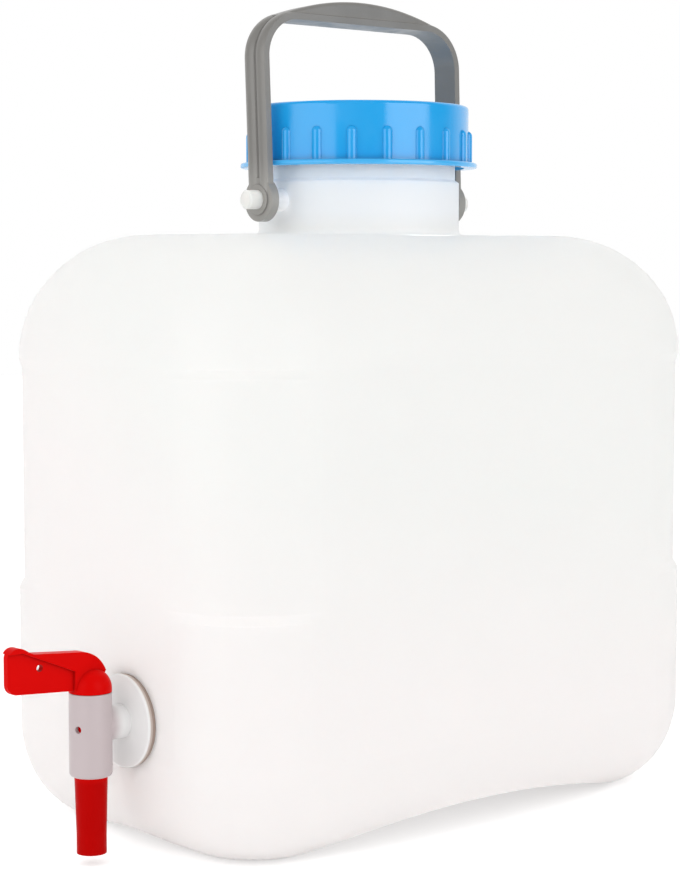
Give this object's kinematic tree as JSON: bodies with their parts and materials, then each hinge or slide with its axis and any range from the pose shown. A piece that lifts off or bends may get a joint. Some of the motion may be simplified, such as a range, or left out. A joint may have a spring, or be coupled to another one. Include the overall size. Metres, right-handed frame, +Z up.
{
  "type": "carboy with spigot",
  "caption": "Rectangular translucent plastic carboy with a wide ribbed screw cap, folding bail handle and a quarter-turn lever tap low on one end.",
  "frame": {"origin": "middle of the whole object's plan at floor level, so the vessel's own axis stands off along +X by half of the tap's reach", "axes": "+Z up; +X along the long side, away from the tap; +Y across the short side"},
  "size_m": [0.4412, 0.23, 0.4612],
  "materials": {
    "vessel_hdpe": "satin translucent white",
    "handle_grey": "satin",
    "cap_blue": "semi-gloss",
    "liner_white": "matt foam",
    "tap_natural": "satin translucent",
    "gasket_rubber": "matt",
    "plug_red": "gloss"
  },
  "bodies": {
    "vessel": {"vessel": "vessel_hdpe", "tap_body": "tap_natural", "tap_gasket": "gasket_rubber", "tap_washer": "gasket_rubber", "tap_nut": "tap_natural"},
    "handle": {"bail_handle": "handle_grey"},
    "seal": {"cap_liner": "liner_white"},
    "cap": {"cap": "cap_blue"},
    "plug": {"tap_plug": "plug_red"}
  },
  "joints": [
    {"name": "handle_fold", "type": "hinge", "parent": "vessel", "child": "handle", "pos_m": [0.03755, 0, 0.3474], "axis": [1, 0, 0], "range_deg": [-92.9, 97.1]},
    {"name": "cap_rise", "type": "slide", "parent": "vessel", "child": "seal", "axis": [0, 0, 1], "range_m": [0, 0.0341]},
    {"name": "cap_turn", "type": "hinge", "parent": "seal", "child": "cap", "pos_m": [0.03755, 0, 0.3973], "axis": [0, 0, 1], "range_deg": [0, 1020]},
    {"name": "tap_turn", "type": "hinge", "parent": "vessel", "child": "plug", "pos_m": [-0.16935, -0.024, 0.0725], "axis": [0, 0, 1], "range_deg": [0, 90]}
  ],
  "couplings": [
    {"joint": "cap_rise", "follows": "cap_turn", "m_per_rad": 0.0019099}
  ]
}
